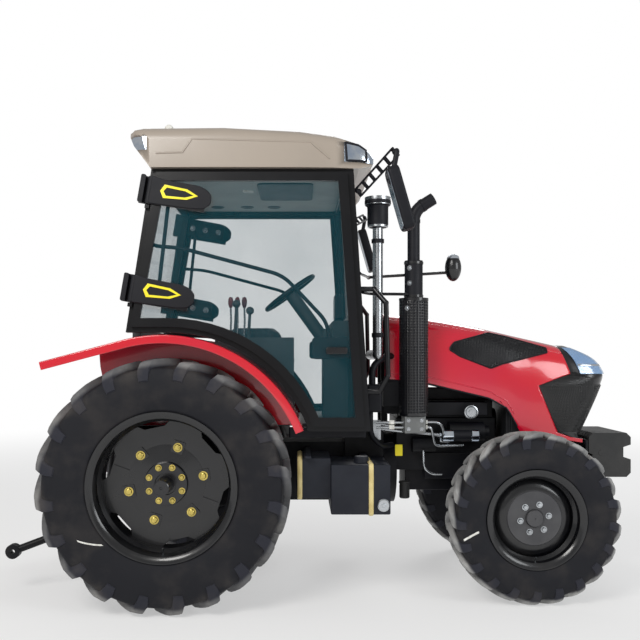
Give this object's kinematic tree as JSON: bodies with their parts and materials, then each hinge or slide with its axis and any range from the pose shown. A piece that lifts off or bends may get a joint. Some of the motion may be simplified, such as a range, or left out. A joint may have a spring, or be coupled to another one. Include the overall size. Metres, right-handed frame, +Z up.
{
  "type": "farm tractor",
  "caption": "Four-wheel-drive farm tractor with a closed cab, tilting hood, steered front wheels, lugged tyres, front weights and a rear three-point hitch.",
  "frame": {"origin": "on the ground under the middle of the tractor", "axes": "+X forward, +Y left, +Z up"},
  "size_m": [3.75, 2.22, 2.7008],
  "materials": {
    "cast": "satin paint over castings",
    "red": "gloss paint",
    "black": "satin paint",
    "engine": "painted casting",
    "steel": "bare metal",
    "roof": "moulded panel",
    "plastic": "moulded",
    "grey": "moulded",
    "tyre": "moulded rubber",
    "rim": "gloss paint",
    "glass": "clear",
    "lamp": "clear lens",
    "seat": "woven",
    "radiator": "painted fins"
  },
  "bodies": {
    "chassis": {"transmission": "cast", "rear_axle": "cast", "engine": "engine", "engine_auxiliaries": "engine", "radiator": "radiator", "front_frame": "cast", "front_axle": "cast", "front_weights": "cast", "exhaust": "black", "air_intake": "steel", "fuel_tank": "plastic", "battery_step": "plastic", "cab_floor": "plastic", "cab_sides": "black", "cab_crossbars": "black", "roof": "roof", "roof_lamps": "lamp", "fixed_glass": "glass", "fenders": "red", "seat": "seat", "dashboard": "plastic", "steering_wheel": "plastic", "side_console": "grey", "mirrors": "plastic", "front_mirror": "plastic", "grab_handles": "black", "hydraulic_pipes": "steel", "hitch_bracket": "cast", "drawbar": "cast", "pto_shaft": "steel", "hood_stand": "black"},
    "wheel_rear_left": {"tyre_rear_left": "tyre", "rim_rear_left": "rim"},
    "wheel_rear_right": {"tyre_rear_right": "tyre", "rim_rear_right": "rim"},
    "steer_left": {"knuckle_left": "cast"},
    "steer_right": {"knuckle_right": "cast"},
    "wheel_front_left": {"tyre_front_left": "tyre", "rim_front_left": "rim"},
    "wheel_front_right": {"tyre_front_right": "tyre", "rim_front_right": "rim"},
    "door_left": {"door_frame_left": "black", "door_glass_left": "glass"},
    "door_right": {"door_frame_right": "black", "door_glass_right": "glass"},
    "hood": {"hood_shell": "red", "grille": "plastic", "headlamps": "lamp", "side_vents": "plastic", "hood_hinges": "black"},
    "hitch_links": {"lower_links": "cast"},
    "hitch_arms": {"lift_arms": "cast"},
    "hitch_rods": {"lift_rods": "cast"}
  },
  "joints": [
    {"name": "wheel_rear_left_spin", "type": "hinge", "parent": "chassis", "child": "wheel_rear_left", "pos_m": [-0.885, 0.74, 0.69], "axis": [0, 1, 0], "continuous": true},
    {"name": "wheel_rear_right_spin", "type": "hinge", "parent": "chassis", "child": "wheel_rear_right", "pos_m": [-0.885, -0.74, 0.69], "axis": [0, 1, 0], "continuous": true},
    {"name": "steer_right", "type": "hinge", "parent": "chassis", "child": "steer_right", "pos_m": [1.165, -0.47, 0.482], "axis": [0, 0, 1], "range_deg": [-33, 33]},
    {"name": "steer_left", "type": "hinge", "parent": "chassis", "child": "steer_left", "pos_m": [1.165, 0.47, 0.482], "axis": [0, 0, 1], "range_deg": [-33, 33]},
    {"name": "wheel_front_left_spin", "type": "hinge", "parent": "steer_left", "child": "wheel_front_left", "pos_m": [1.165, 0.6, 0.482], "axis": [0, 1, 0], "continuous": true},
    {"name": "wheel_front_right_spin", "type": "hinge", "parent": "steer_right", "child": "wheel_front_right", "pos_m": [1.165, -0.6, 0.482], "axis": [0, 1, 0], "continuous": true},
    {"name": "door_right", "type": "hinge", "parent": "chassis", "child": "door_right", "pos_m": [-1.0904, -0.6607, 1.72016], "axis": [-0.1633, -0.0374, -0.9859], "range_deg": [0, 70]},
    {"name": "door_left", "type": "hinge", "parent": "chassis", "child": "door_left", "pos_m": [-1.0904, 0.6607, 1.72016], "axis": [0.1633, -0.0374, 0.9859], "range_deg": [0, 70]},
    {"name": "hood", "type": "hinge", "parent": "chassis", "child": "hood", "pos_m": [0.379, 0, 1.593], "axis": [0, -1, 0], "range_deg": [0, 50]},
    {"name": "hitch_lift", "type": "hinge", "parent": "chassis", "child": "hitch_links", "pos_m": [-0.995, 0, 0.545], "axis": [0, 1, 0], "range_deg": [0, 30]},
    {"name": "lift_arms", "type": "hinge", "parent": "chassis", "child": "hitch_arms", "pos_m": [-1.13, 0, 0.935], "axis": [0, 1, 0], "range_deg": [0, 52]},
    {"name": "lift_rods", "type": "hinge", "parent": "hitch_arms", "child": "hitch_rods", "pos_m": [-1.42, 0, 0.88], "axis": [0, 1, 0], "range_deg": [-42, 0]}
  ],
  "couplings": [
    {"joint": "steer_left", "follows": "steer_right", "ratio": 1},
    {"joint": "lift_arms", "follows": "hitch_lift", "ratio": 1.727},
    {"joint": "lift_rods", "follows": "hitch_lift", "ratio": -1.387}
  ]
}
